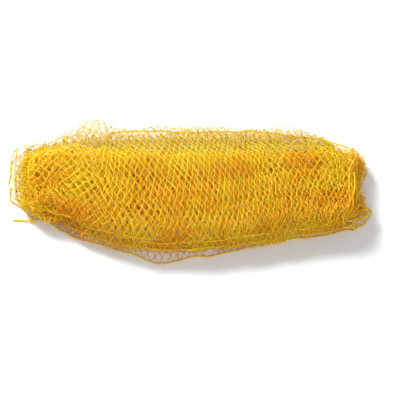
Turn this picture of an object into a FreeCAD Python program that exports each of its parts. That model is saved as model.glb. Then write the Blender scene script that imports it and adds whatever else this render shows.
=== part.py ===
import FreeCAD, Part
import math
import os

# A knotted court net, folded up and laid down.  The netting is zig-zagged lengthwise into a
# stack of folds, each fold three layers of netting deep.  A border cord runs round the net:
# the head cord along the front edge of every fold, the foot cord along the back edge, and
# one side cord at each end of the net.  Millimetres, +X along the stack, +Y to the back,
# +Z up, and z = 0 is the surface the net lies on.

V = FreeCAD.Vector

# ---------------------------------------------------------------- driving dimensions
HALF_LENGTH = 404.0          # the stack reaches this far each way along X
FOLD_COUNT = 7
FOLD_PITCH = 12.5            # height of one fold in the stack, three layers of netting
FOLD_GAP = 0.8               # daylight between two folds
FOLD_CORNER = 4.0            # rounding of a fold's long edges
PRESSED_FLAT = 0.6           # the lowest fold's rounding is cut off this high by the floor
BODY_DEPTH = 248.0           # front to back of the second fold, the widest of the stack
FRONT_SETBACKS = (-8.0, 0.0, 2.0, 6.0, 11.0, 18.0, 28.0)      # of each fold's front edge
BACK_SETBACKS = (0.0, 0.0, 2.0, 5.0, 9.0, 14.0, 20.0)         # of each fold's back edge
SETBACK_FADE = 0.7           # share of a setback that is gone at a fold's end
END_SAG = 0.2                # share of the height that the stack loses at its ends
LEFT_SETBACKS = (47.0, 38.0, 42.0, 48.0, 55.0, 63.0, 73.0)    # of each fold's end at -X
RIGHT_SETBACKS = (6.0, 0.0, 3.0, 10.0, 39.0, 41.0, 43.0)      # of each fold's end at +X

FLAP_X = -54.0               # a slack corner of netting that lies out in front
FLAP_REACH = 33.0
FLAP_WIDTH = 50.0
BACK_SPILL = 67.0            # loose netting of the lowest fold, spread out behind the stack
BACK_SWELLS = ((-222.0, 50.0, 15.0), (0.0, 60.0, 8.0), (222.0, 62.0, 9.0))  # x, width, reach

CORD_DIAMETER = 3.6
CORD_GAP = 3.8               # netting edge to border cord
CORD_STEP = 27.0             # longest straight run of a border cord
CORD_ENDS = 0.905            # share of a fold's reach where its cord leaves the long edge
TURN_REACH = 13.0            # how far a cord goes on before it turns up to the next fold
TURN_SWELL = 1.0             # the turn is this much taller, above and below, than the pitch
FLOOR_GAP = 0.3
KNOT_DIAMETER = 12.0
KNOT_GAP = 0.3
SIDE_SPREAD = 13.0           # between neighbouring runs of a folded side cord
SIDE_DROP = 9.0              # each run of the right side cord lies this much lower
ARC_SHARE = 0.45             # share of the shorter run that an arc takes

# Plan of the stack: share of a fold's reach, then its front and back edge as shares of
# BODY_DEPTH.
PLAN = ((-1.00, 0.02, 0.18), (-0.97, -0.11, 0.29), (-0.92, -0.22, 0.36),
        (-0.80, -0.35, 0.41), (-0.60, -0.475, 0.425), (-0.30, -0.57, 0.415),
        (0.00, -0.59, 0.41), (0.30, -0.53, 0.415), (0.55, -0.45, 0.425),
        (0.80, -0.385, 0.41), (0.90, -0.33, 0.37), (0.96, -0.22, 0.29),
        (1.00, -0.02, 0.16))

# Outer run of the left side cord on the floor, front to back: distance out from the lowest
# fold's end, and share of BODY_DEPTH.
LEFT_SWEEP = ((12.0, -0.185), (29.0, -0.125), (39.0, -0.036), (43.4, 0.093), (42.0, 0.242),
              (36.0, 0.387), (25.0, 0.48), (12.0, 0.540))
LEFT_KNOTS = ((-7.0, -0.250), (-8.0, 0.445))     # front and back corner, measured the same way
RIGHT_FRONT_KNOT = (-13.0, -0.300)               # measured out from the top fold's end
RIGHT_BACK_KNOT = (10.0, 0.385)
RIGHT_RUN = (-0.250, 0.290)                      # front and back end of the right side cord
RIGHT_BOW = ((0.0, -11.0), (0.25, 0.0), (0.5, 3.0), (0.75, 1.0), (1.0, -8.0))
# The free end of the head cord, from its knot outwards: measured from the knot.
TAIL_STEPS = ((-14.0, -1.0), (-24.0, 0.6), (-33.0, 1.4), (-41.0, -0.4))

cord_radius = CORD_DIAMETER / 2
knot_radius = KNOT_DIAMETER / 2
floor_z = cord_radius + FLOOR_GAP
left_ends = [HALF_LENGTH - s for s in LEFT_SETBACKS]
right_ends = [HALF_LENGTH - s for s in RIGHT_SETBACKS]
top = FOLD_COUNT - 1


# ---------------------------------------------------------------- shape of the stack
def reach(fold, x):
    """Distance from the middle to the end of a fold, on the side where x lies."""
    return right_ends[fold] if x > 0 else left_ends[fold]


def swell(x, centre, width, height):
    """A smooth bump along the length."""
    return height * math.exp(-((x - centre) / width) ** 2)


def slope(column, i):
    a = PLAN[max(i - 1, 0)]
    b = PLAN[min(i + 1, len(PLAN) - 1)]
    return (b[column] - a[column]) / (b[0] - a[0])


def plan(share, column):
    """The plan's front (column 1) or back (column 2) edge: a smooth curve by its points."""
    i = sum(1 for p in PLAN[1:-1] if p[0] <= share)
    a = PLAN[i]
    b = PLAN[i + 1]
    w = b[0] - a[0]
    t = (share - a[0]) / w
    rise = a[column] * (2 * t ** 3 - 3 * t ** 2 + 1) + b[column] * (3 * t ** 2 - 2 * t ** 3)
    lean = slope(column, i) * (t ** 3 - 2 * t ** 2 + t) + slope(column, i + 1) * (t ** 3 - t ** 2)
    return BODY_DEPTH * (rise + lean * w)


def setback(amounts, fold, share):
    """A fold's setback, which fades towards its ends."""
    return amounts[fold] * (1 - SETBACK_FADE * share ** 4)


def front_y(fold, x):
    share = x / reach(fold, x)
    y = plan(share, 1) + setback(FRONT_SETBACKS, fold, share)
    if fold == 0:
        y -= swell(x, FLAP_X, FLAP_WIDTH, FLAP_REACH)
    return y


def back_y(fold, x):
    share = x / reach(fold, x)
    y = plan(share, 2) - setback(BACK_SETBACKS, fold, share)
    if fold == 0:
        y += BACK_SPILL * (1 - share ** 6) + sum(swell(x, *s) for s in BACK_SWELLS)
    return y


def level(x):
    """Height of one fold at x: the stack sags towards its ends."""
    return FOLD_PITCH * (1 - END_SAG * min(abs(x) / HALF_LENGTH, 1.0) ** 3)


def mid_z(fold, x):
    return level(x) * (fold + 0.5)


# ---------------------------------------------------------------- folds of netting
END_STATIONS = (0.92, 0.95, 0.975, 0.995)
EVEN_STATIONS = 13


def section(fold, x):
    """Closed outline of a fold across the stack: a flat band with rounded edges."""
    low = level(x) * fold if fold else -PRESSED_FLAT
    high = level(x) * (fold + 1) - FOLD_GAP
    y0 = front_y(fold, x)
    y1 = back_y(fold, x)
    r = FOLD_CORNER
    k = r * (1 - math.sqrt(0.5))
    edges = [
        Part.LineSegment(V(x, y0 + r, low), V(x, y1 - r, low)),
        Part.Arc(V(x, y1 - r, low), V(x, y1 - k, low + k), V(x, y1, low + r)),
        Part.LineSegment(V(x, y1, low + r), V(x, y1, high - r)),
        Part.Arc(V(x, y1, high - r), V(x, y1 - k, high - k), V(x, y1 - r, high)),
        Part.LineSegment(V(x, y1 - r, high), V(x, y0 + r, high)),
        Part.Arc(V(x, y0 + r, high), V(x, y0 + k, high - k), V(x, y0, high - r)),
        Part.LineSegment(V(x, y0, high - r), V(x, y0, low + r)),
        Part.Arc(V(x, y0, low + r), V(x, y0 + k, low + k), V(x, y0 + r, low)),
    ]
    return Part.Wire([e.toShape() for e in edges])


def netting_fold(fold):
    even = [END_STATIONS[0] * i / EVEN_STATIONS for i in range(1, EVEN_STATIONS)]
    shares = even + list(END_STATIONS)
    xs = [-left_ends[fold] * s for s in reversed(shares)] + [0.0]
    xs += [right_ends[fold] * s for s in shares]
    band = Part.makeLoft([section(fold, x) for x in xs], True, False)
    if fold == 0:
        floor = Part.makeBox(4 * HALF_LENGTH, 4 * BODY_DEPTH, FOLD_PITCH)
        floor.translate(V(-2 * HALF_LENGTH, -2 * BODY_DEPTH, -FOLD_PITCH))
        band = band.cut(floor)
    return band


# ---------------------------------------------------------------- border cords
def tube(name, route):
    """A round cord along straight runs that tangent arcs join."""
    points = [V(*p) for p in route]
    edges = []
    radii = []
    start = points[0]
    for before, corner, after in zip(points, points[1:], points[2:]):
        back = (before - corner).normalize()
        ahead = (after - corner).normalize()
        half_turn = (math.pi - back.getAngle(ahead)) / 2
        set_off = ARC_SHARE * min((before - corner).Length, (after - corner).Length)
        radius = set_off / math.tan(half_turn)
        inward = (back + ahead).normalize()
        middle = corner + inward * (radius / math.cos(half_turn) - radius)
        first = corner + back * set_off
        last = corner + ahead * set_off
        edges.append(Part.LineSegment(start, first).toShape())
        edges.append(Part.Arc(first, middle, last).toShape())
        radii.append(radius)
        start = last
    edges.append(Part.LineSegment(start, points[-1]).toShape())
    path = Part.Wire(edges)
    ring = Part.Circle(points[0], points[1] - points[0], cord_radius)
    solid = path.makePipeShell([Part.Wire([ring.toShape()])], True, True, 2)
    should = path.Length * math.pi * cord_radius ** 2
    print("%-16s length %7.1f  volume / (section x length) %.5f  radii %s"
          % (name, path.Length, solid.Volume / should, [round(r, 1) for r in radii]))
    return solid


def edge_point(fold, side, x, dz=0.0):
    """A border cord's place, square out from the long edge of a fold."""
    edge = front_y if side < 0 else back_y
    lean = (edge(fold, x + 1) - edge(fold, x - 1)) / 2
    out = side * (cord_radius + CORD_GAP) / math.hypot(1, lean)
    return (x - lean * out, edge(fold, x) + out, mid_z(fold, x) + dz)


def run_end(fold, partner, side_x):
    """Where a fold's cord leaves the long edge, to turn up or down to its partner's."""
    ends = right_ends if side_x > 0 else left_ends
    return side_x * min(ends[fold], ends[partner]) * CORD_ENDS


def turn_x(fold, partner, side_x):
    return run_end(fold, partner, side_x) + side_x * TURN_REACH


def edge_run(fold, side):
    """Route of a border cord along one long edge of a fold, from -X to +X."""
    above = min(fold + 1, top)
    below = max(fold - 1, 0)
    x0 = run_end(fold, above if fold % 2 else below, -1)
    x1 = run_end(fold, below if fold % 2 else above, 1)
    steps = math.ceil((x1 - x0) / CORD_STEP)
    return [edge_point(fold, side, x0 + (x1 - x0) * i / steps) for i in range(steps + 1)]


def long_cord(side, first_end, last_end):
    """Head cord (side -1) or foot cord (side +1): up the stack, fold by fold."""
    route = [first_end]
    for fold in range(FOLD_COUNT):
        run = edge_run(fold, side)
        onward = 1 if fold % 2 == 0 else -1
        if onward < 0:
            run.reverse()
        if fold > 0:
            x = turn_x(fold, fold - 1, -onward)
            run.insert(0, edge_point(fold, side, x, TURN_SWELL))
        if fold < top:
            x = turn_x(fold, fold + 1, onward)
            run.append(edge_point(fold, side, x, -TURN_SWELL))
        route += run
    return route + [last_end]


def from_knot(knot, point):
    """Where a cord that heads for a point comes out of a knot."""
    way = (V(*point) - V(*knot)).normalize()
    return tuple(V(*knot) + way * (knot_radius + KNOT_GAP))


def beside(sweep, offset):
    """The same sweep moved sideways, to the right of its direction."""
    moved = []
    for i, (x, y, z) in enumerate(sweep):
        a = sweep[max(i - 1, 0)]
        b = sweep[min(i + 1, len(sweep) - 1)]
        way = V(b[0] - a[0], b[1] - a[1], 0).normalize()
        moved.append((x + way.y * offset, y - way.x * offset, z))
    return moved


def left_side_route():
    """Three runs side by side on the floor: to the back, to the front, to the back."""
    outer = [(-left_ends[0] - out, share * BODY_DEPTH, floor_z) for out, share in LEFT_SWEEP]
    inner = beside(outer, SIDE_SPREAD)[1:]
    last = beside(outer, 2 * SIDE_SPREAD)[1:-1]
    route = outer + inner[::-1] + last
    return [from_knot(left_front_knot, route[0])] + route + [from_knot(left_back_knot, route[-1])]


def right_side_route():
    """Three runs that step down the right-hand end of the top fold."""
    x = right_ends[top] + cord_radius + CORD_GAP
    z = mid_z(top, x)
    front, back = [share * BODY_DEPTH for share in RIGHT_RUN]
    route = []
    for run in range(3):
        here = [(x + run * SIDE_DROP + bow, front + (back - front) * t, z - run * SIDE_DROP)
                for t, bow in RIGHT_BOW]
        route += here if run % 2 == 0 else here[::-1]
    return ([from_knot(right_front_knot, route[0])] + route
            + [from_knot(right_back_knot, route[-1])])


def corner(ends, knot, side):
    """Centre of a corner knot: out from a fold's end, and share of BODY_DEPTH."""
    return (side * (ends + knot[0]), knot[1] * BODY_DEPTH)


left_front_knot = corner(left_ends[0], LEFT_KNOTS[0], -1) + (knot_radius,)
left_back_knot = corner(left_ends[0], LEFT_KNOTS[1], -1) + (knot_radius,)
right_front_knot = corner(right_ends[top], RIGHT_FRONT_KNOT, 1) + (mid_z(top, right_ends[top]),)
right_back_knot = corner(right_ends[top], RIGHT_BACK_KNOT, 1)
right_back_knot += (mid_z(top, right_ends[top]) - 2 * SIDE_DROP,)


def between_knots(side, first, last):
    """A long cord from its knot on the floor to its knot on top of the stack."""
    start = edge_run(0, side)[0]
    end = edge_run(top, side)[-1]
    return long_cord(side, from_knot(first, start), from_knot(last, end))


def tail_route():
    x, y, _ = left_front_knot
    route = [(x + dx, y + dy, floor_z) for dx, dy in TAIL_STEPS]
    return [from_knot(left_front_knot, route[0])] + route


# ---------------------------------------------------------------- the net, piece by piece
def save(name, shape):
    shape.exportStep("parts/" + name + ".step")
    box = shape.optimalBoundingBox()
    print("%-22s %s %9.0f mm3  x %.1f..%.1f  y %.1f..%.1f  z %.2f..%.2f"
          % (name, shape.isValid(), shape.Volume, box.XMin, box.XMax, box.YMin, box.YMax,
             box.ZMin, box.ZMax))


os.makedirs("parts", exist_ok=True)

for fold in range(FOLD_COUNT):
    save("netting_fold_%d" % (fold + 1), netting_fold(fold))

save("head_cord", tube("head_cord", between_knots(-1, left_front_knot, right_front_knot)))
save("foot_cord", tube("foot_cord", between_knots(1, left_back_knot, right_back_knot)))
save("left_side_cord", tube("left_side_cord", left_side_route()))
save("right_side_cord", tube("right_side_cord", right_side_route()))
save("head_cord_tail", tube("head_cord_tail", tail_route()))

KNOTS = (("left_front_knot", left_front_knot), ("left_back_knot", left_back_knot),
         ("right_front_knot", right_front_knot), ("right_back_knot", right_back_knot))
for name, centre in KNOTS:
    save(name, Part.makeSphere(knot_radius, V(*centre)))
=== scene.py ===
import bpy
import math
import numpy as np
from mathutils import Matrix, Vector


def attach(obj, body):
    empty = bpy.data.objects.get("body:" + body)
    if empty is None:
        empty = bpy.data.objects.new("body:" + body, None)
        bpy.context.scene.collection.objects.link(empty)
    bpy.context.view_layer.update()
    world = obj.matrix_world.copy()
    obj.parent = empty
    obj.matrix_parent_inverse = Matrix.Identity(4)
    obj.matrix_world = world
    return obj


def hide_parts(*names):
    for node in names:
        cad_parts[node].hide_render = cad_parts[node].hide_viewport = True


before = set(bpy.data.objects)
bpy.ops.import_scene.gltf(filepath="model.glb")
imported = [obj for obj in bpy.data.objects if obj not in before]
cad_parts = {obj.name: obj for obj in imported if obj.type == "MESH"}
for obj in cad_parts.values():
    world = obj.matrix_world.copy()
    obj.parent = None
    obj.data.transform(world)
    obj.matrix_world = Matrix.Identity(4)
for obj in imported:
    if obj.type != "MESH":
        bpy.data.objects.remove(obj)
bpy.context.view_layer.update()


# ---------------------------------------------------------------- camera
# A long lens 6 m away looks down on the net from the front, 56 degrees above the floor, and
# takes in a square of 0.90 m.
scene = bpy.context.scene
CAMERA_ELEVATION = math.radians(56.0)
CAMERA_DISTANCE = 6.0
FIELD_WIDTH = 0.900
SENSOR_WIDTH = 36.0
camera_data = bpy.data.cameras.new("camera")
camera_data.sensor_width = SENSOR_WIDTH
camera_data.lens = SENSOR_WIDTH * CAMERA_DISTANCE / FIELD_WIDTH
camera = bpy.data.objects.new("camera", camera_data)
aim = Vector((0.027, -0.005, 0.0))
toward_camera = Vector((0.0, -math.cos(CAMERA_ELEVATION), math.sin(CAMERA_ELEVATION)))
camera.location = aim + toward_camera * CAMERA_DISTANCE
camera.rotation_euler = (math.pi / 2 - CAMERA_ELEVATION, 0.0, 0.0)
scene.collection.objects.link(camera)
scene.camera = camera


# ---------------------------------------------------------------- floor and light
# A matt white floor under even, slightly cool surroundings.  One soft key light stands behind
# on the left and throws the shadow to the front right, and a weak fill lights the front face.
scene.view_settings.view_transform = "Standard"

floor_mesh = bpy.data.meshes.new("floor")
FLOOR = 6.0                  # metres each way
floor_corners = [(-FLOOR, -FLOOR, 0), (FLOOR, -FLOOR, 0), (FLOOR, FLOOR, 0), (-FLOOR, FLOOR, 0)]
floor_mesh.from_pydata(floor_corners, [], [(0, 1, 2, 3)])
floor = bpy.data.objects.new("floor", floor_mesh)
scene.collection.objects.link(floor)
floor_paint = bpy.data.materials.new("floor paint")
floor_paint.use_nodes = True
paint = floor_paint.node_tree.nodes["Principled BSDF"]
paint.inputs["Base Color"].default_value = (0.93, 0.93, 0.93, 1.0)
paint.inputs["Roughness"].default_value = 0.8
floor_mesh.materials.append(floor_paint)

world = bpy.data.worlds.new("studio")
world.use_nodes = True
world.node_tree.nodes["Background"].inputs["Color"].default_value = (0.92, 0.965, 1.0, 1.0)
world.node_tree.nodes["Background"].inputs["Strength"].default_value = 0.38
scene.world = world


def soft_light(name, place, size, power):
    """A square area light that faces the middle of the net."""
    data = bpy.data.lights.new(name, "AREA")
    data.size = size
    data.energy = power
    light = bpy.data.objects.new(name, data)
    light.location = place
    light.rotation_euler = Vector(place).to_track_quat("Z", "Y").to_euler()
    scene.collection.objects.link(light)


soft_light("key light", (-1.5, 1.9, 2.2), 1.1, 168.0)
soft_light("fill light", (0.9, -2.6, 2.4), 2.4, 48.0)


# ---------------------------------------------------------------- shape of the folded net
# The netting is one panel, zig-zagged lengthwise into a stack of seven folds.  Each fold is
# about three layers of netting deep: out to the back, to the front, and to the back again.
# Sizes are in millimetres, and x runs along the stack.
MM = 0.001
HALF_LENGTH = 404.0
FOLD_COUNT = 7
FOLD_PITCH = 12.0
END_SAG = 0.2
BODY_DEPTH = 248.0
FRONT_SETBACKS = (4.0, -9.0, -10.0, -8.0, -4.0, 4.0, 17.0)
BACK_SETBACKS = (0.0, 0.0, 4.0, 11.0, 18.0, 25.0, 32.0)
LEFT_ENDS = (410.0, 384.0, 380.0, 377.0, 373.0, 368.0, 362.0)
RIGHT_ENDS = (392.0, 395.0, 394.0, 390.0, 386.0, 381.0, 376.0)
FLAPS = ((-62.0, 38.0, 36.0), (40.0, 14.0, 80.0))      # x, reach, width of the slack in front
SPILL = np.array(((-400, 112), (-373, 126), (-342, 138), (-292, 146), (-259, 156), (-225, 172),
                  (-198, 174), (-169, 170), (-137, 162), (-58, 170), (7, 171), (43, 163),
                  (148, 163), (195, 171), (243, 170), (286, 154), (315, 141), (337, 124),
                  (364, 112), (387, 96), (400, 74)))
PLAN = np.array(((-0.93, -0.21, 0.345), (-0.86, -0.225, 0.39), (-0.75, -0.265, 0.415),
                 (-0.60, -0.39, 0.425), (-0.42, -0.50, 0.42), (-0.25, -0.575, 0.415),
                 (0.00, -0.585, 0.41), (0.30, -0.53, 0.415), (0.55, -0.45, 0.425),
                 (0.80, -0.385, 0.41), (0.93, -0.34, 0.36)))

NET_DEPTH = 750.0            # head cord to foot cord
BAR = 19.5                   # knot to knot
HALF_ROWS = 45               # half mesh rows between the two cords
COLUMN = 10.0                # half a mesh along the hung net
TWINE = 1.3

rng = np.random.default_rng(11)


def smoothstep(low, high, x):
    t = np.clip((x - low) / (high - low), 0.0, 1.0)
    return t * t * (3.0 - 2.0 * t)


def wander(x, scale, seed, y=0.0):
    """Smooth random waves of about unit height over x, and over y."""
    waves = np.random.default_rng(seed)
    total = np.zeros(np.broadcast(x, y).shape)
    for n in range(7):
        turn = waves.uniform(0.0, 2 * math.pi)
        rate = 2 * math.pi / (scale * waves.uniform(0.55, 1.7))
        lean = waves.uniform(-1.0, 1.0)
        total = total + np.sin(rate * (x * math.sqrt(1 - lean * lean) + y * lean) + turn)
    return total / 2.2


def level(x):
    """Height of one fold at x."""
    return FOLD_PITCH * (1 - END_SAG * np.minimum(np.abs(x) / HALF_LENGTH, 1.0) ** 3)


def fold_reach(fold, x):
    return np.where(x > 0, RIGHT_ENDS[fold], LEFT_ENDS[fold])


def front_edge(fold, x):
    share = np.clip(x / fold_reach(fold, x), -1.0, 1.0)
    y = BODY_DEPTH * np.interp(share, PLAN[:, 0], PLAN[:, 1])
    y = y + FRONT_SETBACKS[fold] * (1 - 0.7 * share ** 4)
    if fold == 0:
        y = y - sum(reach * np.exp(-((x - middle) / width) ** 2) for middle, reach, width in FLAPS)
        y = y - 8.0 * smoothstep(-85.0, -140.0, x) - 2.0 * wander(x, 90.0, 100)
    return y - 6.0 + 4.0 * wander(x, 90.0, 100 + fold)


def back_edge(fold, x):
    share = np.clip(x / fold_reach(fold, x), -1.0, 1.0)
    y = BODY_DEPTH * np.interp(share, PLAN[:, 0], PLAN[:, 2])
    y = y - BACK_SETBACKS[fold] * (1 - 0.7 * share ** 4)
    return y + 6.0 + 6.0 * wander(x, 110.0, 200 + fold)


def slack_front(x):
    """1 where the drape at the front hangs short and shows the slack netting under it."""
    return smoothstep(-125.0, -85.0, x) * (1 - smoothstep(95.0, 150.0, x))


def spill_edge(x):
    """The far edge of the loose netting that lies behind the stack."""
    y = sum(np.interp(x + shift, SPILL[:, 0], SPILL[:, 1]) for shift in (-14, -5, 5, 14)) / 4
    fuller = smoothstep(-170.0, -120.0, x) * (1 - smoothstep(110.0, 190.0, x))
    y = y + 8.0 + 16.0 * np.exp(-((x + 212.0) / 34.0) ** 2)
    return y + 9.0 * fuller + 1.5 * wander(x, 60.0, 31)


def fold_path(fold, x):
    """Corners (y, z) of the netting's way through a fold at x, from head cord to foot cord,
    and the two corners where it turns back, each with the half row that lies on it."""
    low = level(x) * fold
    tall = level(x)
    front = front_edge(fold, x)
    back = back_edge(fold, x)
    if fold == 0:
        spill = spill_edge(x)
        hump = 14.0 + 4.0 * wander(x, 70.0, 41) + 24.0 * np.exp(-((x + 215.0) / 42.0) ** 2)
        tuck = -20.0 + 14.0 * wander(x, 120.0, 42)
        corners = [(front, 1.2), (front + 14, 2.6), (back, 2.0),
                   (back + 0.55 * (spill - back), 2.0 + 0.4 * hump), (spill, 2.0 + 0.5 * hump),
                   (spill + 2, 3.0 + 0.9 * hump), (spill - 4, 4.0 + 1.1 * hump),
                   (back + 20, 6.0 + hump), (back - 6, 6.5), (tuck + 3, 7.0), (tuck, 8.2),
                   (tuck + 3, 9.5), (back - 5, 10.5)]
        return corners, (5, 22.5), (10, 36.0)
    if fold == 1:
        near = 0.90 + 0.08 * smoothstep(-80.0, 0.0, x)
        near = near + 0.09 * np.exp(-((x + 215.0) / 45.0) ** 2)
        spill = back + near * (spill_edge(x) - back) + 4.0 * wander(x, 80.0, 43)
        hump = 13.0 + 4.0 * wander(x, 90.0, 44) + 16.0 * np.exp(-((x + 215.0) / 45.0) ** 2)
        tuck = -40.0 + 14.0 * wander(x, 120.0, 45)
        corners = [(front + 8, low + 11.0), (back, low + 10.0), (spill - 2, 8.0 + hump),
                   (spill, 10.0 + hump), (spill - 3, 12.0 + hump), (back - 4, low + 8.0),
                   (tuck + 3, low + 7.0),
                   (tuck, low + 5.0), (tuck + 3, low + 3.5), (back - 14, low + 1.5)]
        return corners, (3, 22.0), (7, 36.0)
    if fold == 2:
        near = 0.72 + 0.20 * smoothstep(-80.0, 0.0, x) + 0.20 * np.exp(-((x + 215.0) / 45.0) ** 2)
        spill = back + near * (spill_edge(x) - back) + 6.0 * wander(x, 80.0, 47)
        tuck = -60.0 + 14.0 * wander(x, 120.0, 48)
        corners = [(front + 8, low + 1.0), (back, low + 1.5), (spill - 2, 17.0), (spill, 19.0),
                   (spill - 3, 21.0), (back - 4, low + 5.0), (tuck + 3, low + 6.0),
                   (tuck, low + 7.0), (tuck + 3, low + 8.5), (back - 14, low + 10.5)]
        return corners, (3, 20.5), (7, 34.5)
    if fold == FOLD_COUNT - 2:
        skirt = 14.0 + 3.0 * wander(x, 80.0, 49) + 14.0 * smoothstep(150.0, 300.0, x)
        lowest = front_edge(2, x) - 2.0 + 12.0 * slack_front(x)
        corners = [(lowest + 11, skirt + 8.0), (front + 1, low + tall - 3.0),
                   (front + 8, low + tall - 1.0), (back - 7, low + tall - 1.5),
                   (back - 4, low + tall - 3.0), (back - 7, low + tall - 4.5),
                   (front + 4, low + tall - 5.5), (front - 3, low + 2.0), (lowest + 1, skirt + 2.0),
                   (lowest - 1, skirt), (lowest, skirt + 2.5), (front, low - 2.0),
                   (front + 8, low + 2.0), (front + 100, low + 1.5)]
        return corners, (4, 17.4), (9, 34.8)
    if fold == FOLD_COUNT - 1:
        right = smoothstep(110.0, 230.0, x)
        over = 0.25 + 0.67 * smoothstep(-190.0, -110.0, x)
        skirt = 4.0 + 2.0 * wander(x, 60.0, 46) + 22.0 * right + 6.0 * smoothstep(-240.0, -330.0, x)
        lowest = front_edge(1, x) - 5.0 + 6.0 * right + 14.0 * slack_front(x)
        out_y = back + over * (spill_edge(x) + 2.0 - back)
        out_z = 34.0 * (1 - over) + 14.0
        corners = [(lowest + 10, skirt + 10.0), (front - 2, low - 1.0), (front + 6, low + 1.5),
                   (front + 117, low + 2.5), (front + 120, low + 4.0), (front + 117, low + 5.5),
                   (front + 3, low + 7.0), (front - 5, low + 2.0), (lowest + 1, skirt + 2.0),
                   (lowest - 1, skirt), (lowest - 2.5, skirt + 2.0), (front - 9, low + 3.0),
                   (front - 1, low + tall - 0.5), (back - 40, low + tall + 0.5),
                   (back - 6, low + tall - 5.0), (back + 14, low + tall - 20.0), (out_y, out_z)]
        return corners, (4, 11.2), (9, 22.5)
    if fold == 3:
        near = 0.45 + 0.30 * smoothstep(-90.0, 0.0, x)
        spill = back + near * (spill_edge(x) - back) + 6.0 * wander(x, 80.0, 55)
        tuck = -80.0 + 14.0 * wander(x, 120.0, 56)
        corners = [(front + 8, low + 11.0), (back, low + 10.0), (spill - 2, 26.0), (spill, 28.0),
                   (spill - 3, 30.0), (back - 4, low + 7.0), (tuck + 3, low + 6.0),
                   (tuck, low + 5.0), (tuck + 3, low + 3.5), (back - 14, low + 1.5)]
        return corners, (3, 19.0), (7, 33.0)
    steps = [(front + 8 * (fold > 3), 1.0), (back - 3, 1.5), (back, 3.0), (back - 3, 4.5),
             (front + 3, 5.5), (front, 7.0), (front + 3, 8.5), (back - 12, 10.5)]
    if fold % 2:
        return [(y, low + tall - z) for y, z in steps], (2, 15.0), (5, 30.0)
    return [(y, low + z) for y, z in steps], (2, 15.0), (5, 30.0)


def along_path(path, share):
    """Points at shares (columns by rows) of the way from head cord to foot cord."""
    corners, first_turn, second_turn = path
    count = share.shape[0]
    ys = np.array([np.broadcast_to(y, count) for y, z in corners])
    zs = np.array([np.broadcast_to(z, count) for y, z in corners])
    steps = np.hypot(np.diff(ys, axis=0), np.diff(zs, axis=0))
    runs = np.vstack([np.zeros((1, count)), np.cumsum(steps, axis=0)])
    rows_at = [np.broadcast_to(row, count) / HALF_ROWS for corner, row in (first_turn, second_turn)]
    y = np.empty(share.shape)
    z = np.empty(share.shape)
    for c in range(count):
        turns = (0.0, runs[first_turn[0], c], runs[second_turn[0], c], runs[-1, c])
        far = np.interp(share[c], (0.0, rows_at[0][c], rows_at[1][c], 1.0), turns)
        y[c] = np.interp(far, runs[:, c], ys[:, c])
        z[c] = np.interp(far, runs[:, c], zs[:, c])
    return y, z


# ---------------------------------------------------------------- laying out the netting
# The netting is diamond mesh, knotted by machine.  Every knot has its column along the net and
# its row from head cord to foot cord.  The knots are first put on the fold paths, then the bars
# between them, which hardly stretch, pull the net into shape.
TURN_SHARES = (0.2, 0.4, 0.6, 0.8)       # columns on the turn from one fold to the next
END_MARGIN = 11.0                        # from a fold's end to its last column
LOW_OPENNESS, OPENNESS = 0.80, 0.87      # column spacing as a share of the hung net's
LOW_FOLDS = 3
# The same of the top fold, by x.
TOP_OPENNESS = ((-330, -180, -60, 60, 200, 340), (1.0, 0.92, 0.76, 0.63, 0.54, 0.50))


def column_places():
    """Fold, x and turn angle of every column of half meshes, from end to end of the net."""
    folds, xs, turns = [], [], []
    for fold in range(FOLD_COUNT):
        onward = 1 if fold % 2 == 0 else -1
        before = max(fold - 1, 0)
        after = min(fold + 1, FOLD_COUNT - 1)
        ends = {1: RIGHT_ENDS, -1: LEFT_ENDS}
        start = -onward * (min(ends[-onward][fold], ends[-onward][before]) - END_MARGIN)
        stop = onward * (min(ends[onward][fold], ends[onward][after]) - END_MARGIN)
        x = start
        while (stop - x) * onward > 0:
            folds.append(fold)
            xs.append(x)
            turns.append(0.0)
            share = LOW_OPENNESS if fold < LOW_FOLDS else OPENNESS
            if fold == FOLD_COUNT - 1:
                share = float(np.interp(x, *TOP_OPENNESS))
            x += onward * COLUMN * share
        if fold < FOLD_COUNT - 1:
            for angle in TURN_SHARES:
                folds.append(fold)
                xs.append(stop)
                turns.append(angle * math.pi)
    return np.array(folds), np.array(xs), np.array(turns)


column_fold, column_x, column_turn = column_places()
columns = len(column_x)
rows = (HALF_ROWS + 1) // 2
odd = np.arange(columns) % 2
row_share = (2 * np.arange(rows)[None, :] + odd[:, None]) / HALF_ROWS
row_share = row_share + 0.003 * wander(column_x[:, None], 70.0, 51, row_share * NET_DEPTH)
row_share = np.clip(row_share, 0.0, 1.0)

place = np.zeros((columns, rows, 3))
for fold in range(FOLD_COUNT):
    here = column_fold == fold
    x = column_x[here]
    y, z = along_path(fold_path(fold, x), row_share[here])
    onward = 1 if fold % 2 == 0 else -1
    angle = column_turn[here]
    if fold < FOLD_COUNT - 1:
        y_next, z_next = along_path(fold_path(fold + 1, x), row_share[here])
        lift = np.abs(z_next - z) / 2 + 1.0
        turning = (angle > 0)[:, None]
        blend = (1 - np.cos(angle))[:, None] / 2
        swing = np.minimum(lift, 12.0) * np.sin(angle)[:, None]
        z = np.where(turning, z + (z_next - z) * blend, z)
        y = np.where(turning, y + (y_next - y) * blend, y)
        x = x[:, None] + onward * np.where(turning, swing, 0.0)
    else:
        x = np.repeat(x[:, None], rows, axis=1)
        in_top = smoothstep(0.56, 0.68, row_share[here])
        tilt = 0.27 * smoothstep(-230.0, -90.0, x) * (1 - smoothstep(230.0, 330.0, x))
        x = x - tilt * in_top * (y + 120.0)
    place[here] = np.stack([x, y, z], axis=2)

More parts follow.
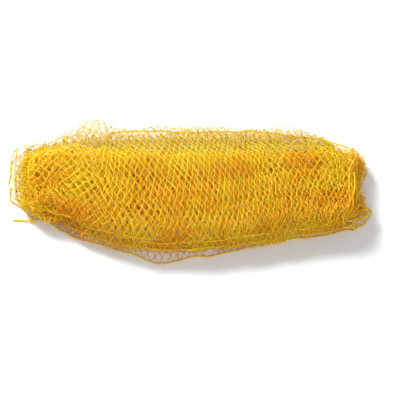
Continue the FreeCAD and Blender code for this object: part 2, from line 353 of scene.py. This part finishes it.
# The ends are rounded at the left and have two lobes at the right.
gx, gy = place[..., 0].copy(), place[..., 1].copy()
left_pull = np.where(column_fold == 0, 46.0, 24.0)[:, None] * smoothstep(-5.0, -62.0, gy)
left_pull = left_pull + 36.0 * smoothstep(100.0, 155.0, gy)
lobes = np.exp(-((gy + 48.0) / 26.0) ** 2) + np.exp(-((gy - 70.0) / 30.0) ** 2)
low_fold = np.where(column_fold < LOW_FOLDS, 1.0, 0.25)[:, None]
right_pull = 24.0 * smoothstep(-72.0, -98.0, gy) + 46.0 * smoothstep(88.0, 140.0, gy)
right_pull = right_pull - 16.0 * low_fold * lobes + 6.0
place[..., 0] += left_pull * smoothstep(-250.0, -385.0, gx) - right_pull * smoothstep(300.0, 385.0, gx)

# The top sinks in near the left end.  At both ends of the net the side cord lies in three runs.
pinch = 0.5 * np.exp(-((gx + 306.0) ** 2 + (gy + 30.0) ** 2) / 42.0 ** 2) * (column_fold > 4)[:, None]
place[..., 0] -= pinch * (gx + 306.0)
place[..., 1] -= pinch * (gy + 30.0)
place[..., 2] -= 14.0 * pinch
right_end = np.where(column_fold == FOLD_COUNT - 1, smoothstep(325.0, 366.0, column_x), 0.0)[:, None]
steps_down = 2.0 - smoothstep(0.20, 0.30, row_share) - smoothstep(0.50, 0.60, row_share)
place[..., 0] += 9.0 * steps_down * right_end
inner_run = smoothstep(0.46, 0.54, row_share) + smoothstep(0.76, 0.84, row_share)
end_spread = np.where(column_fold == 0, smoothstep(-330.0, -400.0, column_x), 0.0)[:, None]
place[..., 0] += 10.0 * inner_run * end_spread

# Every layer wanders in its own way.
layer = (column_fold[:, None] * 3 + np.minimum(row_share * 3, 2.0).astype(int)) * 10
loose = 1.0 - 0.45 * smoothstep(95.0, 130.0, gy)
loose = np.where((column_fold == FOLD_COUNT - 1)[:, None], 0.55, loose)
for axis, slow, slow_size, quick, quick_size, seed, slow_step, quick_step in (
        (0, 3.2, 60.0, 2.0, 28.0, 61, 37.0, 11.0), (1, 2.6, 55.0, 1.6, 24.0, 63, 23.0, 17.0)):
    sway = slow * wander(gx, slow_size, seed, gy + slow_step * layer)
    sway = sway + quick * wander(gx, quick_size, seed + 1, gy + quick_step * layer)
    place[..., axis] += loose * sway
place[..., 2] += 0.9 * wander(gx, 45.0, 65, gy + 13.0 * layer)
place[..., 2] += 2.2 * wander(gx, 130.0, 66, gy) * smoothstep(40.0, 80.0, place[..., 2])
place += rng.normal(0.0, 0.5, place.shape)

# The four corners of the net lie where the border cords are tied together.
CORNERS = ((0, 0, (-350.0, -62.0, 5.0)), (0, rows - 1, (-349.0, 110.4, 5.0)),
           (columns - 1, 0, (348.0, -74.4, 69.7)), (columns - 1, rows - 1, (371.0, 95.5, 51.7)))
for column, row, spot in CORNERS:
    near_by = np.exp(-((np.arange(columns) - column) / 7.0) ** 2)[:, None]
    near_by = near_by * np.exp(-((np.arange(rows) - row) / 3.0) ** 2)[None, :]
    place += near_by[..., None] * (np.array(spot) - place[column, row])

knots = place.copy()


def bar_ends(kind, array):
    """The two ends of every bar of one of the four kinds, as views into the array."""
    last = (columns // 2) * 2
    even, odd_ones, next_even = array[0:last:2], array[1:last:2], array[2::2]
    if kind == 0:
        return even, odd_ones
    if kind == 1:
        return even[:, 1:], odd_ones[:, :-1]
    count = len(next_even)
    if kind == 2:
        return odd_ones[:count, :-1], next_even[:, 1:]
    return odd_ones[:count], next_even


def pull(a, b, least, most, soft):
    """Move both ends so that the bar is no longer than most, and hardly shorter than least."""
    gap = b - a
    length = np.linalg.norm(gap, axis=-1, keepdims=True) + 1e-9
    eased = np.where(length < least, length + soft * (least - length), length)
    wanted = np.where(length > most, most, eased)
    move = gap * (0.5 * (1 - wanted / length))
    a += move
    b -= move


STEPS = 170
BAR_LIMITS = (15.5, BAR, 0.12)       # shortest, longest, and how hard a short one pushes back
MESH_WIDTH = (7.0, 34.0, 0.10)       # the same of a whole mesh along the net
MESH_HEIGHT = (12.0, 38.6, 0.10)     # and of one across it
FLAT_HOLD, HEIGHT_HOLD = 0.035, 0.22     # how firmly a knot is drawn back to its place
LOWEST, HIGHEST = 1.9, 88.0          # a knot's middle
for step in range(STEPS):
    for kind in range(4):
        a, b = bar_ends(kind, knots)
        pull(a, b, *BAR_LIMITS)
    pull(knots[:-2], knots[2:], *MESH_WIDTH)
    pull(knots[:, :-1], knots[:, 1:], *MESH_HEIGHT)
    knots[..., :2] += FLAT_HOLD * (place[..., :2] - knots[..., :2])
    knots[..., 2] += HEIGHT_HOLD * (place[..., 2] - knots[..., 2])
    knots[..., 2] = np.clip(knots[..., 2], LOWEST, HIGHEST)
    for column, row, spot in CORNERS:
        knots[column, row] = spot


# ---------------------------------------------------------------- twine and cord material
# Golden polyethylene fibre, twisted.  The tone runs from deep orange, painted shade where the stack
# sinks in and in the folds under the top one, to gold on top, with painted highlights where fibres
# would catch the light, and a duller, greyer colour painted as shade over the loose netting.
def add(tree, kind, settings=None, inputs=None):
    """A new node: its settings are set first, then the values or links of its sockets."""
    node = tree.nodes.new(kind)
    for name, value in (settings or {}).items():
        setattr(node, name, value)
    for slot, value in (inputs or {}).items():
        value = getattr(value, "socket", value)
        if isinstance(value, bpy.types.NodeSocket):
            tree.links.new(value, node.inputs[slot])
        else:
            node.inputs[slot].default_value = value
    return node


class Value:
    """A node output that ordinary arithmetic works on."""
    def __init__(self, tree, socket):
        self.tree, self.socket = tree, socket

    def maths(self, operation, *operands):
        node = add(self.tree, "ShaderNodeMath", {"operation": operation}, dict(enumerate(operands)))
        return Value(self.tree, node.outputs[0])

    def __add__(self, other): return self.maths("ADD", self, other)
    def __radd__(self, other): return self.maths("ADD", other, self)
    def __sub__(self, other): return self.maths("SUBTRACT", self, other)
    def __rsub__(self, other): return self.maths("SUBTRACT", other, self)
    def __mul__(self, other): return self.maths("MULTIPLY", self, other)
    def __rmul__(self, other): return self.maths("MULTIPLY", other, self)
    def sine(self): return self.maths("SINE", self)
    def cosine(self): return self.maths("COSINE", self)
    def absolute(self): return self.maths("ABSOLUTE", self)
    def clamp(self): return self.maths("MINIMUM", self.maths("MAXIMUM", self, 0.0), 1.0)


def attribute(tree, name):
    return Value(tree, add(tree, "ShaderNodeAttribute", {"attribute_name": name}).outputs["Fac"])


def noise(tree, scale, detail=2.0):
    where = add(tree, "ShaderNodeTexCoord").outputs["Object"]
    node = add(tree, "ShaderNodeTexNoise", None, {"Scale": scale, "Detail": detail, "Vector": where})
    return Value(tree, node.outputs["Fac"])


MIX_FACTOR, MIX_A, MIX_B, MIX_RESULT = 0, 6, 7, 2    # colour sockets of a Mix node


def mixed(tree, amount, first, second):
    inputs = {MIX_FACTOR: amount, MIX_A: first, MIX_B: second}
    return add(tree, "ShaderNodeMix", {"data_type": "RGBA"}, inputs).outputs[MIX_RESULT]


# PALE is the colour of the painted highlights, DEEP that of painted shade and of deeper random tone,
# and DUSKY that of the painted shade over the loose netting.
PALE = (0.98, 0.88, 0.30, 1.0)
GOLD = (0.96, 0.73, 0.010, 1.0)
DEEP = (0.88, 0.37, 0.0, 1.0)
DUSKY = (0.72, 0.49, 0.02, 1.0)


def twine_material(name, lay_length):
    """Twisted fibre whose strands come round again every lay_length metres."""
    material = bpy.data.materials.new(name)
    material.use_nodes = True
    tree = material.node_tree
    shader = tree.nodes["Principled BSDF"]
    shader.inputs["Specular IOR Level"].default_value = 0.06
    shader.inputs["Subsurface Weight"].default_value = 0.5
    shader.inputs["Subsurface Radius"].default_value = (1.0, 0.7, 0.15)
    shader.inputs["Subsurface Scale"].default_value = 0.0015
    patches = (noise(tree, 11.0, 1.0) - 0.5) * 1.1
    # The tone attribute carries painted shade and light; the noise and the patches add random
    # variation.
    tone = (attribute(tree, "tone") + (noise(tree, 40.0) - 0.5) * 0.8 + patches).clamp()
    # Painted highlight: pale glints along the fibres, in random streaks.
    shine = ((noise(tree, 420.0, 3.0) - 0.52) * 4.0).clamp()
    colour = mixed(tree, tone, DEEP, GOLD)
    colour = mixed(tree, shine * 0.75, colour, PALE)
    # Painted shade: the loose netting behind and left of the stack is made duller and greyer.
    colour = mixed(tree, attribute(tree, "loose_shade"), colour, DUSKY)
    rough = noise(tree, 160.0) * 0.3 + 0.33
    turns = attribute(tree, "along") * (2 * math.pi / lay_length)
    lay = (turns + attribute(tree, "around") * (6 * math.pi)).sine()
    height = lay * 0.5 + noise(tree, 1500.0) * 0.5
    bump = add(tree, "ShaderNodeBump", None, {"Strength": 0.55, "Distance": 0.0004, "Height": height})
    tree.links.new(colour, shader.inputs["Base Color"])
    tree.links.new(rough.socket, shader.inputs["Roughness"])
    tree.links.new(bump.outputs["Normal"], shader.inputs["Normal"])
    return material


netting_twine = twine_material("netting twine", 0.004)


# ---------------------------------------------------------------- netting, fold by fold
# Twine 1.3 mm thick runs through the knots along both diagonals of the mesh, and every crossing
# is knotted.  Each fold is a piece of twine and a piece of knots, and the seven are one panel.
def start_tree(name, *numbers):
    """A new geometry tree with named inputs, and its input node."""
    tree = bpy.data.node_groups.new(name, "GeometryNodeTree")
    tree.interface.new_socket("Geometry", in_out="INPUT", socket_type="NodeSocketGeometry")
    for number in numbers:
        tree.interface.new_socket(number, in_out="INPUT", socket_type="NodeSocketFloat")
    tree.interface.new_socket("Geometry", in_out="OUTPUT", socket_type="NodeSocketGeometry")
    return tree, add(tree, "NodeGroupInput")


def end_tree(tree, geometry, material):
    real = add(tree, "GeometryNodeRealizeInstances", None, {"Geometry": geometry})
    painted = {"Geometry": real.outputs["Geometry"], "Material": material}
    paint = add(tree, "GeometryNodeSetMaterial", None, painted)
    add(tree, "NodeGroupOutput", None, {"Geometry": paint.outputs["Geometry"]})


def store(tree, geometry, name, number):
    inputs = {"Geometry": geometry, "Name": name, "Value": number}
    node = add(tree, "GeometryNodeStoreNamedAttribute", {"data_type": "FLOAT"}, inputs)
    return node.outputs["Geometry"]


def tube_nodes(name, material, sides, twisted):
    """Wires in, tubes out, with the way along and round them stored.  A twisted tube is a cord
    of three strands."""
    tree, start = start_tree(name, "Thickness", *(["Turns per metre"] if twisted else []))
    curve = add(tree, "GeometryNodeMeshToCurve", None, {"Mesh": start.outputs["Geometry"]})
    curve = curve.outputs["Curve"]
    length = Value(tree, add(tree, "GeometryNodeSplineParameter").outputs["Length"])
    curve = store(tree, curve, "along", length)
    radius = Value(tree, start.outputs["Thickness"]) * 0.5
    ring = add(tree, "GeometryNodeCurvePrimitiveCircle", None, {"Resolution": sides, "Radius": radius})
    ring = ring.outputs["Curve"]
    way_round = Value(tree, add(tree, "GeometryNodeSplineParameter").outputs["Factor"])
    if twisted:
        tilt = length * Value(tree, start.outputs["Turns per metre"]) * (2 * math.pi)
        curve = add(tree, "GeometryNodeSetCurveTilt", None, {"Curve": curve, "Tilt": tilt})
        curve = curve.outputs["Curve"]
        groove = (way_round * (3 * math.pi)).cosine().absolute() * 0.26 + 0.76
        at = add(tree, "GeometryNodeInputPosition").outputs[0]
        lobes = add(tree, "ShaderNodeVectorMath", {"operation": "SCALE"}, {0: at, "Scale": groove})
        moved = {"Geometry": ring, "Position": lobes.outputs[0]}
        ring = add(tree, "GeometryNodeSetPosition", None, moved).outputs["Geometry"]
    ring = store(tree, ring, "around", way_round)
    swept = {"Curve": curve, "Profile Curve": ring, "Fill Caps": True}
    end_tree(tree, add(tree, "GeometryNodeCurveToMesh", None, swept).outputs["Mesh"], material)
    return tree


def grown(name, mesh, tree, **values):
    """The plain mesh that a node tree makes of a mesh."""
    seed_object = bpy.data.objects.new(name + " seed", mesh)
    scene.collection.objects.link(seed_object)
    modifier = seed_object.modifiers.new("grow", "NODES")
    modifier.node_group = tree
    for item in tree.interface.items_tree:
        if item.in_out == "INPUT" and item.name in values:
            modifier[item.identifier] = values[item.name]
    depsgraph = bpy.context.evaluated_depsgraph_get()
    made = bpy.data.meshes.new_from_object(seed_object.evaluated_get(depsgraph))
    made.name = name
    bpy.data.objects.remove(seed_object)
    for polygon in made.polygons:
        polygon.use_smooth = True
    made.update()
    piece = bpy.data.objects.new(name, made)
    scene.collection.objects.link(piece)
    return piece


def diagonals(first, last):
    """Every run of knots along both diagonals of the mesh, within columns first to last."""
    runs = []
    for rising in (True, False):
        starts = [(first, r) for r in range(rows)]
        edge_row = 0 if rising else rows - 1
        starts += [(c, edge_row) for c in range(first + 1, last) if (c % 2 == 0) == rising]
        for column, row in starts:
            run = [(column, row)]
            while column < last:
                if column % 2 == 0:
                    row = row if rising else row - 1
                else:
                    row = row + 1 if rising else row
                column += 1
                if row < 0 or row >= rows:
                    break
                run.append((column, row))
            if len(run) > 1:
                runs.append((rising, run))
    return runs


# Painted shade, where the golden colour is painted deeper as the top of the stack sinks in: x, y,
# widths both ways, and by how much.
HOLLOW_SHADE_SPOTS = ((-322.0, 10.0, 34.0, 26.0, 0.50), (-270.0, -78.0, 46.0, 22.0, 0.50),
              (259.0, 55.0, 52.0, 38.0, 0.65), (113.0, 24.0, 62.0, 22.0, 0.50),
              (301.0, -47.0, 36.0, 18.0, 0.40), (-20.0, -12.0, 130.0, 40.0, 0.25))


def painted_hollow_shade(place):
    """How much painted shade deepens the golden colour where the top of the stack sinks in."""
    return sum(depth * np.exp(-((place[:, 0] - x) / wide) ** 2 - ((place[:, 1] - y) / deep) ** 2)
               for x, y, wide, deep, depth in HOLLOW_SHADE_SPOTS)


def looseness(place):
    """1 in the loose netting behind the stack and at its left end."""
    behind, at_the_left = smoothstep(92.0, 122.0, place[:, 1]), smoothstep(-350.0, -380.0, place[:, 0])
    return np.minimum(behind + at_the_left, 1.0)


CROSSING = 0.45              # how far each diagonal passes over or under the middle of a knot


def twine_wires(name, first, last):
    """Wires through the knots, each bar bowed by its own slack."""
    local = np.random.default_rng(500 + first)
    points, edges, tones, loose_shades = [], [], [], []
    for rising, run in diagonals(first, last):
        index = np.array(run)
        ends = knots[index[:, 0], index[:, 1]].copy()
        ends[:, 2] += CROSSING if rising else -CROSSING
        gap = np.diff(ends, axis=0)
        length = np.linalg.norm(gap, axis=1)
        way = gap / length[:, None]
        slack = np.clip(BAR - length, 0.0, 6.0)
        widest = 2.0 if index[0, 0] >= calm_from else 3.0
        bow = np.minimum(np.sqrt(0.375 * BAR * slack), widest)[:, None]
        side = local.normal(0.0, 1.0, gap.shape) * (1.0, 1.0, 0.35)
        side -= way * (side * way).sum(1)[:, None]
        side /= np.linalg.norm(side, axis=1)[:, None]
        lean = local.uniform(-0.25, 0.25, (len(gap), 1))
        heading = np.empty_like(ends)
        heading[1:-1] = (ends[2:] - ends[:-2]) * 0.29
        heading[0], heading[-1] = gap[0] / 3, gap[-1] / 3
        leave, arrive = ends[:-1] + heading[:-1], ends[1:] - heading[1:]
        one = (8 * ends[:-1] + 12 * leave + 6 * arrive + ends[1:]) / 27 + side * bow * (0.55 + lean)
        two = (ends[:-1] + 6 * leave + 12 * arrive + 8 * ends[1:]) / 27 + side * bow * (0.55 - lean)
        wire = np.empty((3 * len(gap) + 1, 3))
        wire[0::3] = ends
        wire[1::3] = one
        wire[2::3] = two
        wire[:, 2] = np.maximum(wire[:, 2], TWINE / 2 + 0.1)
        base = sum(len(p) for p in points)
        points.append(wire)
        edges.append(np.stack([np.arange(len(wire) - 1), np.arange(1, len(wire))], axis=1) + base)
        # Painted shade and light: the folds under the top one are darker, the top fold's outer rows
        # lighter, the loose netting a little lighter, and the hollows darker.
        outer = np.full(len(ends), INNER_SHADE)
        if first >= calm_from:
            outer = smoothstep(0.62, 0.75, row_share[index[:, 0], index[:, 1]])
        shade = 0.12 + 0.85 * outer + 0.45 * looseness(ends) * (1 - outer)
        shade = shade - (1.0 + 0.4 * outer) * painted_hollow_shade(ends)
        tone = np.interp(np.arange(len(wire)) / 3.0, np.arange(len(ends)), shade)
        tones.append(tone + local.uniform(-0.08, 0.2))
        loose_shades.append(looseness(wire))
    points = np.concatenate(points) * MM
    edges = np.concatenate(edges)
    mesh = bpy.data.meshes.new(name)
    mesh.from_pydata(points.tolist(), edges.tolist(), [])
    for label, parts in (("tone", tones), ("loose_shade", loose_shades)):
        stored = mesh.attributes.new(label, "FLOAT", "POINT")
        stored.data.foreach_set("value", np.concatenate(parts))
    return mesh


def knot_nodes(name, material, knot_mesh):
    """Points in, a twine knot on each one out, turned by its own angle."""
    tree, start = start_tree(name, "Size")
    shape_object = bpy.data.objects.new(name + " shape", knot_mesh)
    shape = add(tree, "GeometryNodeObjectInfo", None, {"Object": shape_object})
    angle = add(tree, "GeometryNodeInputNamedAttribute", {"data_type": "FLOAT_VECTOR"},
                {"Name": "turned"})
    spread = add(tree, "GeometryNodeInstanceOnPoints", None, {
        "Points": start.outputs["Geometry"], "Instance": shape.outputs["Geometry"],
        "Rotation": angle.outputs["Attribute"], "Scale": start.outputs["Size"]})
    end_tree(tree, spread.outputs["Instances"], material)
    return tree


KNOT_HALF_SIZE = (1.45, 1.25, 1.9)       # twice across, and along the twine
KNOT_RINGS, KNOT_SIDES = 3, 6
KNOT_LOWEST = 1.6                        # its middle above the floor


def knot_shape():
    """A twine knot: a small lump with a waist, longer along the twine than across it."""
    rings, sides = KNOT_RINGS, KNOT_SIDES
    points = [(0.0, 0.0, 1.0)]
    for r in range(1, rings + 1):
        polar = math.pi * r / (rings + 1)
        for k in range(sides):
            turn = 2 * math.pi * k / sides + 0.5 * r
            out = math.sin(polar) * (1.0 + 0.16 * math.cos(3 * turn))
            points.append((out * math.cos(turn), out * math.sin(turn), math.cos(polar)))
    points.append((0.0, 0.0, -1.0))
    faces = [(0, 1 + k, 1 + (k + 1) % sides) for k in range(sides)]
    for r in range(rings - 1):
        for k in range(sides):
            a, b = 1 + r * sides + k, 1 + r * sides + (k + 1) % sides
            faces.append((a, a + sides, b + sides, b))
    last = 1 + (rings - 1) * sides
    faces += [(last + k, len(points) - 1, last + (k + 1) % sides) for k in range(sides)]
    mesh = bpy.data.meshes.new("twine knot")
    mesh.from_pydata((np.array(points) * KNOT_HALF_SIZE * MM).tolist(), [], faces)
    return mesh


def corners_of(mesh):
    """Of every face its first corner and number of corners; of every corner its vertex and face."""
    vertex = np.empty(len(mesh.loops), int)
    first, count = np.empty(len(mesh.polygons), int), np.empty(len(mesh.polygons), int)
    mesh.loops.foreach_get("vertex_index", vertex)
    mesh.polygons.foreach_get("loop_start", first)
    mesh.polygons.foreach_get("loop_total", count)
    return first, count, vertex, np.repeat(np.arange(len(first)), count)


def store_map(mesh, u, v):
    places = np.stack([u, v], axis=1).astype(np.float32).ravel()
    mesh.uv_layers.new(name="OFBake").uv.foreach_set("vector", places)


def knot_map(mesh):
    """A baking map: every knot is unrolled round its long axis into a cell of its own."""
    rings, sides = KNOT_RINGS, KNOT_SIDES
    points = rings * sides + 2
    first, count, vertex, face = corners_of(mesh)
    local = vertex % points
    pole = (local == 0) | (local == points - 1)
    side = np.where(pole, 0, (local - 1) % sides)
    column = (face % (sides * (rings + 1))) % sides
    u = np.where(pole, column + 0.5, np.where((column == sides - 1) & (side == 0), sides, side))
    v = np.where(local == 0, 0, np.where(local == points - 1, rings + 1, 1 + (local - 1) // sides))
    knot = vertex // points
    across = int(math.ceil(math.sqrt(knot.max() + 1)))
    u = (knot % across + 0.06 + 0.88 * u / sides) / across
    v = (knot // across + 0.06 + 0.88 * v / (rings + 1)) / across
    store_map(mesh, u, v)


def tube_map(mesh, sides):
    """A baking map: the tubes are unrolled end to end into shelves, with their caps between."""
    first, count, vertex, face = corners_of(mesh)
    ring, side = vertex // sides, vertex % sides
    lowest = np.minimum.reduceat(ring, first)[face]
    wraps = (np.maximum.reduceat(side, first) == sides - 1) & (np.minimum.reduceat(side, first) == 0)
    side = np.where((side == 0) & wraps[face], sides, side)
    across = int(math.ceil(math.sqrt(0.3 * (sides + 1) * (ring.max() + 1)))) + 1
    shelf = lowest // across
    cap = (count == sides)[face]
    turn = 2 * math.pi * (np.arange(len(vertex)) - first[face]) / sides
    u = np.where(cap, lowest % across + 0.5 + 0.35 * np.cos(turn), ring - shelf * across)
    v = np.where(cap, sides + 0.5 + 0.35 * np.sin(turn), side)
    u = (u + 0.1) / (across + 0.2)
    v = (v + shelf * (sides + 1) + 0.1) / ((shelf.max() + 1) * (sides + 1) + 0.2)
    store_map(mesh, u, v)


def knot_points(name, first, last):
    """The knots between two columns, each with a turn that lays it along its bars."""
    local = np.random.default_rng(900 + first)
    spots = knots[first:last].reshape(-1, 3).copy()
    spots[:, 2] = np.maximum(spots[:, 2], KNOT_LOWEST)
    mesh = bpy.data.meshes.new(name)
    mesh.from_pydata((spots * MM).tolist(), [], [])
    turned = mesh.attributes.new("turned", "FLOAT_VECTOR", "POINT")
    turn = np.stack([local.normal(middle, spread, len(spots))
                     for middle, spread in ((1.57, 0.3), (0.0, 0.3), (0.0, 0.5))], axis=1)
    turned.data.foreach_set("vector", turn.ravel())
    tone = mesh.attributes.new("tone", "FLOAT", "POINT")
    # Painted shade and light: knots of the folds under the top one are darker, those in the loose
    # netting lighter, and those in the hollows darker.
    shade = (0.30 if first < calm_from else 0.85) + 0.35 * looseness(spots) - painted_hollow_shade(spots)
    tone.data.foreach_set("value", shade + local.uniform(-0.15, 0.15, len(spots)))
    loose_shade = mesh.attributes.new("loose_shade", "FLOAT", "POINT")
    loose_shade.data.foreach_set("value", looseness(spots))
    return mesh


INNER_SHADE = 0.25                        # painted shade: the darker colour of the folds under the top one
TWINE_SIDES = 5
FLAT_DEPTH, FLAT_COLUMN = 0.80, 0.008    # metres, with the meshes opened as they lie
AREA_SHARE = 0.3                         # of the netting's outline
twine_tree = tube_nodes("twine", netting_twine, TWINE_SIDES, False)
knot_tree = knot_nodes("twine knots", netting_twine, knot_shape())
bounds_of = [np.flatnonzero(column_fold == fold) for fold in range(FOLD_COUNT)]
calm_from = bounds_of[-1][0]
for fold in range(FOLD_COUNT):
    first = bounds_of[fold][0]
    last = bounds_of[fold][-1] + (1 if fold < FOLD_COUNT - 1 else 0)
    name = "netting_twine_%d" % (fold + 1)
    twine = grown(name, twine_wires(name, first, last), twine_tree, Thickness=TWINE * MM)
    knot_name = "netting_knots_%d" % (fold + 1)
    tied = grown(knot_name, knot_points(knot_name, first, last), knot_tree, Size=1.0)
    tube_map(twine.data, TWINE_SIDES)
    knot_map(tied.data)
    for piece in (twine, tied):
        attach(piece, "root")
        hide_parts("netting_fold_%d" % (fold + 1))
    flat = (FLAT_DEPTH, (last - first) * FLAT_COLUMN)
    AREA_SHARE * flat[0] * flat[1]


# ---------------------------------------------------------------- border cords
# Three-strand polyethylene cord 3.6 mm thick, laced through the outermost meshes on all four
# sides of the net: head cord, foot cord and a side cord at each end.
CORD = 3.6
CORD_SIDES = 12
TURNS_PER_METRE = 42.0
CORD_TONE = 0.45


def spline_way(name, corners, resolution):
    """Points read from the smooth spline that has the corners as its control points."""
    curve = bpy.data.curves.new(name, "CURVE")
    curve.dimensions = "3D"
    spline = curve.splines.new("NURBS")
    spline.points.add(len(corners) - 1)
    for point, corner in zip(spline.points, corners):
        point.co = (*corner, 1.0)
    spline.order_u = 3
    spline.use_endpoint_u = True
    spline.resolution_u = resolution
    holder = bpy.data.objects.new(name, curve)
    scene.collection.objects.link(holder)
    mesh = bpy.data.meshes.new_from_object(holder)
    way = np.array([tuple(vertex.co) for vertex in mesh.vertices])
    bpy.data.objects.remove(holder)
    return way


def wire_mesh(name, way):
    mesh = bpy.data.meshes.new(name)
    mesh.from_pydata((way * MM).tolist(), [(i, i + 1) for i in range(len(way) - 1)], [])
    tone = mesh.attributes.new("tone", "FLOAT", "POINT")
    tone.data.foreach_set("value", np.full(len(way), CORD_TONE))
    return mesh


border_cord = twine_material("border cord", 0.002)
cord_tree = tube_nodes("three-strand cord", border_cord, CORD_SIDES, True)


def lay_cord(name, way, *nodes):
    sizes = {"Thickness": CORD * MM, "Turns per metre": TURNS_PER_METRE}
    piece = grown(name, wire_mesh(name, way), cord_tree, **sizes)
    tube_map(piece.data, CORD_SIDES)
    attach(piece, "root")
    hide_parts(*nodes)
    return piece


def edge_way(parity, row, out):
    """The border of the netting from end to end of the net."""
    way = knots[parity::2, row] + (0.0, out, 0.0)
    way[:, 2] = np.maximum(way[:, 2], CORD / 2 + 0.2)
    return way


lay_cord("head_border_cord", spline_way("head way", edge_way(0, 0, -0.5), 5), "head_cord")
lay_cord("foot_border_cord", spline_way("foot way", edge_way(1, rows - 1, 0.5), 5), "foot_cord")
lay_cord("left_border_cord", spline_way("left way", knots[0] + (-1.0, 0.0, 0.0), 6), "left_side_cord")
lay_cord("right_border_cord", spline_way("right way", knots[-1] + (1.0, 0.0, 0.0), 6),
         "right_side_cord")


# ---------------------------------------------------------------- corner knots
# At each corner of the net its two border cords are tied together by hand.  The knot is a
# trefoil of the same cord, 13 mm across.
TIED_KNOT = 13.0


def tied_knot(corner, centre, turn):
    t = np.linspace(0.0, 2 * math.pi, 60)
    loop = np.stack([np.sin(t) + 2 * np.sin(2 * t), np.cos(t) - 2 * np.cos(2 * t),
                     -1.15 * np.sin(3 * t)], axis=1)
    loop = loop * (TIED_KNOT / 2 - CORD / 2) / 3.0
    c, s = math.cos(turn), math.sin(turn)
    way = loop @ np.array(((c, s, 0), (-s, c, 0), (0, 0, 1.0))) + np.array(centre)
    way[:, 2] = np.maximum(way[:, 2], CORD / 2)
    lay_cord(corner + "_tied_knot", way, corner + "_knot")


TURNS = (("left_front", 0.4), ("left_back", 1.3), ("right_front", 2.0), ("right_back", 2.9))
for (corner, turn), (column, row, spot) in zip(TURNS, CORNERS):
    tied_knot(corner, spot, turn)


# ---------------------------------------------------------------- free end of the head cord
# 35 mm of head cord sticks out beyond the left front corner knot and lies on the floor.  It was
# cut off bare.
TAIL = ((-0.3561, -0.0624, 0.0045), (-0.364, -0.063, 0.0022), (-0.374, -0.0614, 0.0021),
        (-0.383, -0.0606, 0.0021), (-0.391, -0.0624, 0.0021))
tail_way = spline_way("tail way", TAIL, 8)
tail = lay_cord("free_cord_end", tail_way / MM, "head_cord_tail")
